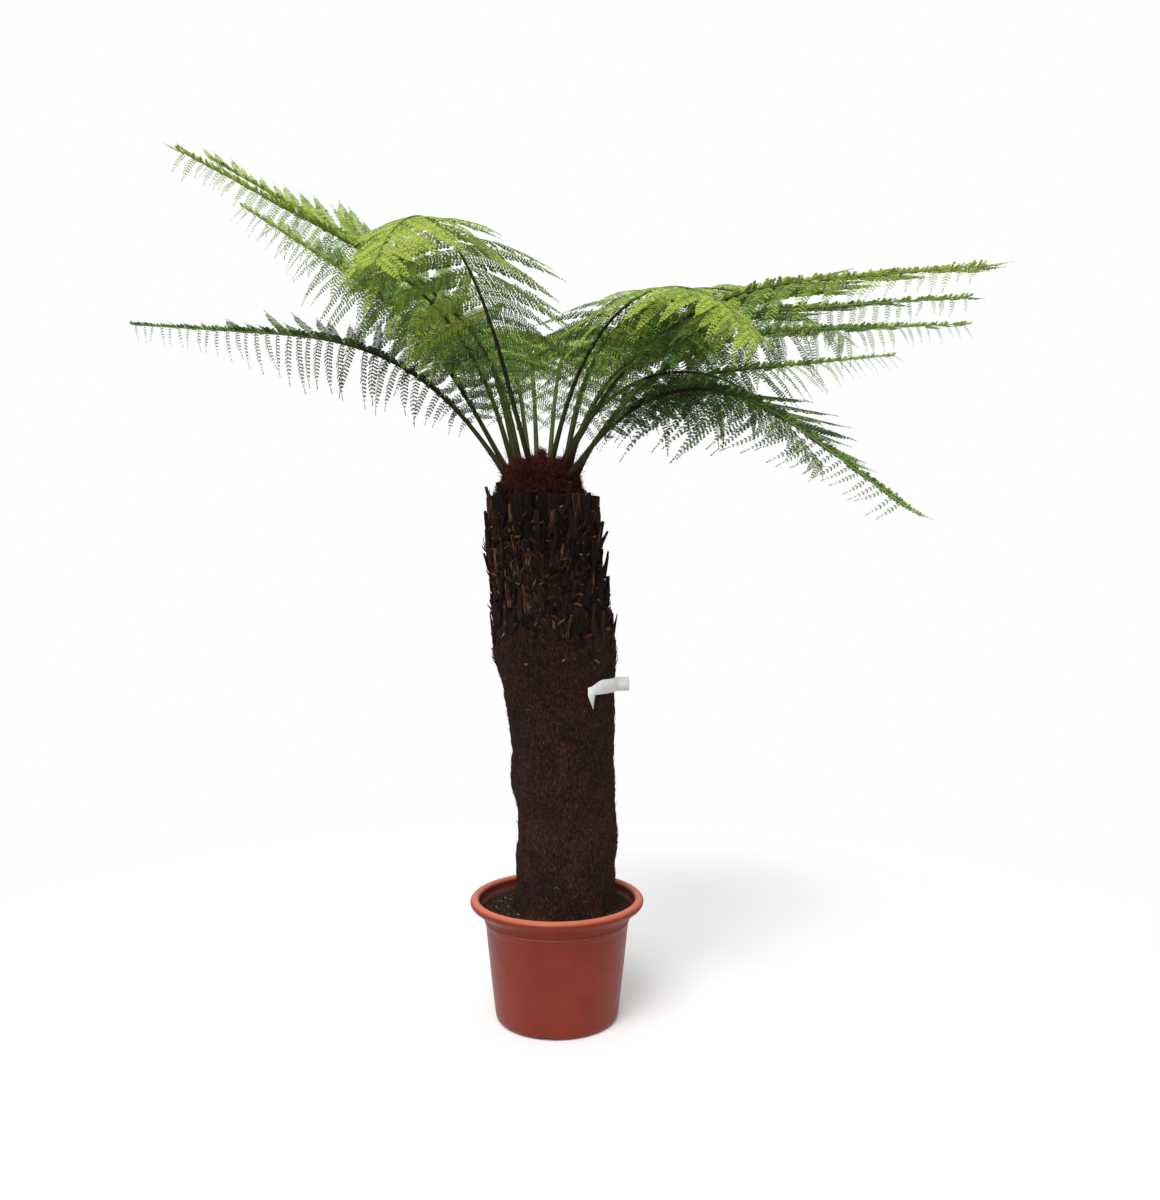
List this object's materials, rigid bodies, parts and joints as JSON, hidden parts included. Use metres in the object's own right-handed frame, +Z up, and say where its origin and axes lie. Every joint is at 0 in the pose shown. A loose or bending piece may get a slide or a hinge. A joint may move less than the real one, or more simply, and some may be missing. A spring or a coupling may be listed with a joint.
{
  "type": "potted tree fern",
  "caption": "Tree fern with a fibrous trunk, old frond stumps, a woolly bud and a wide crown of feathery arching fronds, in a round plastic pot.",
  "frame": {"origin": "middle of the pot's flat underside, on the ground", "axes": "+Z up; someone facing the plant has +X on their right and +Y pointing away from them"},
  "size_m": [2.9258, 2.5262, 2.9149],
  "materials": {
    "pot": "satin",
    "soil": "matte",
    "trunk": "matte",
    "label": "satin",
    "wool": "matte",
    "frond": "matte"
  },
  "bodies": {
    "root": {"pot": "pot", "soil": "soil", "trunk": "trunk", "plant_label": "label", "crown_wool": "wool", "frond_01_inner": "frond", "frond_01_outer": "frond", "frond_02_inner": "frond", "frond_02_outer": "frond", "frond_03_inner": "frond", "frond_03_outer": "frond", "frond_04_inner": "frond", "frond_04_outer": "frond", "frond_05_inner": "frond", "frond_05_outer": "frond", "frond_06_inner": "frond", "frond_06_outer": "frond", "frond_07_inner": "frond", "frond_07_outer": "frond", "frond_08_inner": "frond", "frond_08_outer": "frond", "frond_09_inner": "frond", "frond_09_outer": "frond", "frond_10_inner": "frond", "frond_10_outer": "frond", "frond_11_inner": "frond", "frond_11_outer": "frond", "frond_12_inner": "frond", "frond_12_outer": "frond", "frond_13_inner": "frond", "frond_13_outer": "frond", "frond_14_inner": "frond", "frond_14_outer": "frond", "frond_15_inner": "frond", "frond_15_outer": "frond", "frond_16_inner": "frond", "frond_16_outer": "frond", "frond_17_inner": "frond", "frond_17_outer": "frond", "frond_18_inner": "frond", "frond_18_outer": "frond"}
  },
  "joints": []
}
